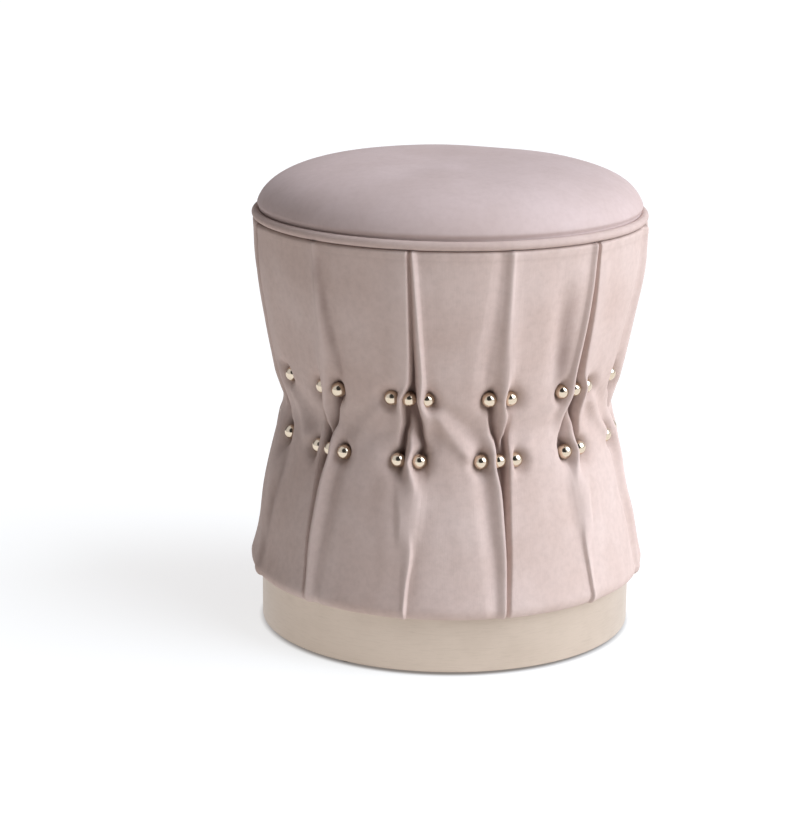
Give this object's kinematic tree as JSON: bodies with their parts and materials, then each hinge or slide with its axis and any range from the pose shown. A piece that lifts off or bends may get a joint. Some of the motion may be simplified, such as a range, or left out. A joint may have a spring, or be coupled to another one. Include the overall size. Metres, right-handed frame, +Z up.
{
  "type": "round pleated ottoman",
  "caption": "Round hourglass ottoman with a crowned seat, piped edge, pleated waist held by metal ball studs, and a metal plinth on levelling glides.",
  "frame": {"origin": "centre of the face that rests on the floor, under the middle of the seat", "axes": "+Z up through the middle of the seat, -Y towards the front as pictured, +X to the viewer's right"},
  "size_m": [0.4106, 0.4106, 0.4805],
  "materials": {
    "cover_cloth": "brushed",
    "champagne_metal": "satin",
    "gold_studs": "polished",
    "black_glide": "matte",
    "zinc_steel": "satin",
    "brass_insert": "satin",
    "yellow_steel": "satin",
    "plywood": "raw",
    "fibreboard": "raw",
    "foam": "matte",
    "wadding": "matte",
    "dust_cloth": "matte",
    "cotton_cord": "matte"
  },
  "bodies": {
    "ottoman": {"glide_inserts": "brass_insert", "plinth_band": "champagne_metal", "plinth_base_board": "plywood", "plinth_blocks": "plywood", "plinth_ring": "plywood", "plinth_bolts": "zinc_steel", "tee_nuts": "zinc_steel", "bottom_board": "plywood", "dust_cover": "dust_cloth", "frame_rib_1": "plywood", "frame_rib_2": "plywood", "frame_rib_3": "plywood", "frame_rib_4": "plywood", "frame_rib_5": "plywood", "frame_rib_6": "plywood", "lower_hoop": "plywood", "upper_hoop": "plywood", "top_board": "plywood", "frame_screws": "yellow_steel", "lower_card": "fibreboard", "upper_card": "fibreboard", "lower_side_foam": "foam", "waist_foam": "foam", "upper_side_foam": "foam", "side_cover": "cover_cloth", "hem_staples": "zinc_steel", "lower_studs": "gold_studs", "upper_studs": "gold_studs", "seat_foam": "foam", "seat_wadding": "wadding", "seat_cover": "cover_cloth", "piping": "cover_cloth", "piping_cord": "cotton_cord"},
    "glide_1": {"glide_pad_1": "black_glide", "glide_stem_1": "zinc_steel"},
    "glide_2": {"glide_pad_2": "black_glide", "glide_stem_2": "zinc_steel"},
    "glide_3": {"glide_pad_3": "black_glide", "glide_stem_3": "zinc_steel"},
    "glide_4": {"glide_pad_4": "black_glide", "glide_stem_4": "zinc_steel"}
  },
  "joints": [
    {"name": "glide_1_travel", "type": "slide", "parent": "ottoman", "child": "glide_1", "axis": [0, 0, -1], "range_m": [0, 0.008]},
    {"name": "glide_2_travel", "type": "slide", "parent": "ottoman", "child": "glide_2", "axis": [0, 0, -1], "range_m": [0, 0.008]},
    {"name": "glide_3_travel", "type": "slide", "parent": "ottoman", "child": "glide_3", "axis": [0, 0, -1], "range_m": [0, 0.008]},
    {"name": "glide_4_travel", "type": "slide", "parent": "ottoman", "child": "glide_4", "axis": [0, 0, -1], "range_m": [0, 0.008]}
  ]
}
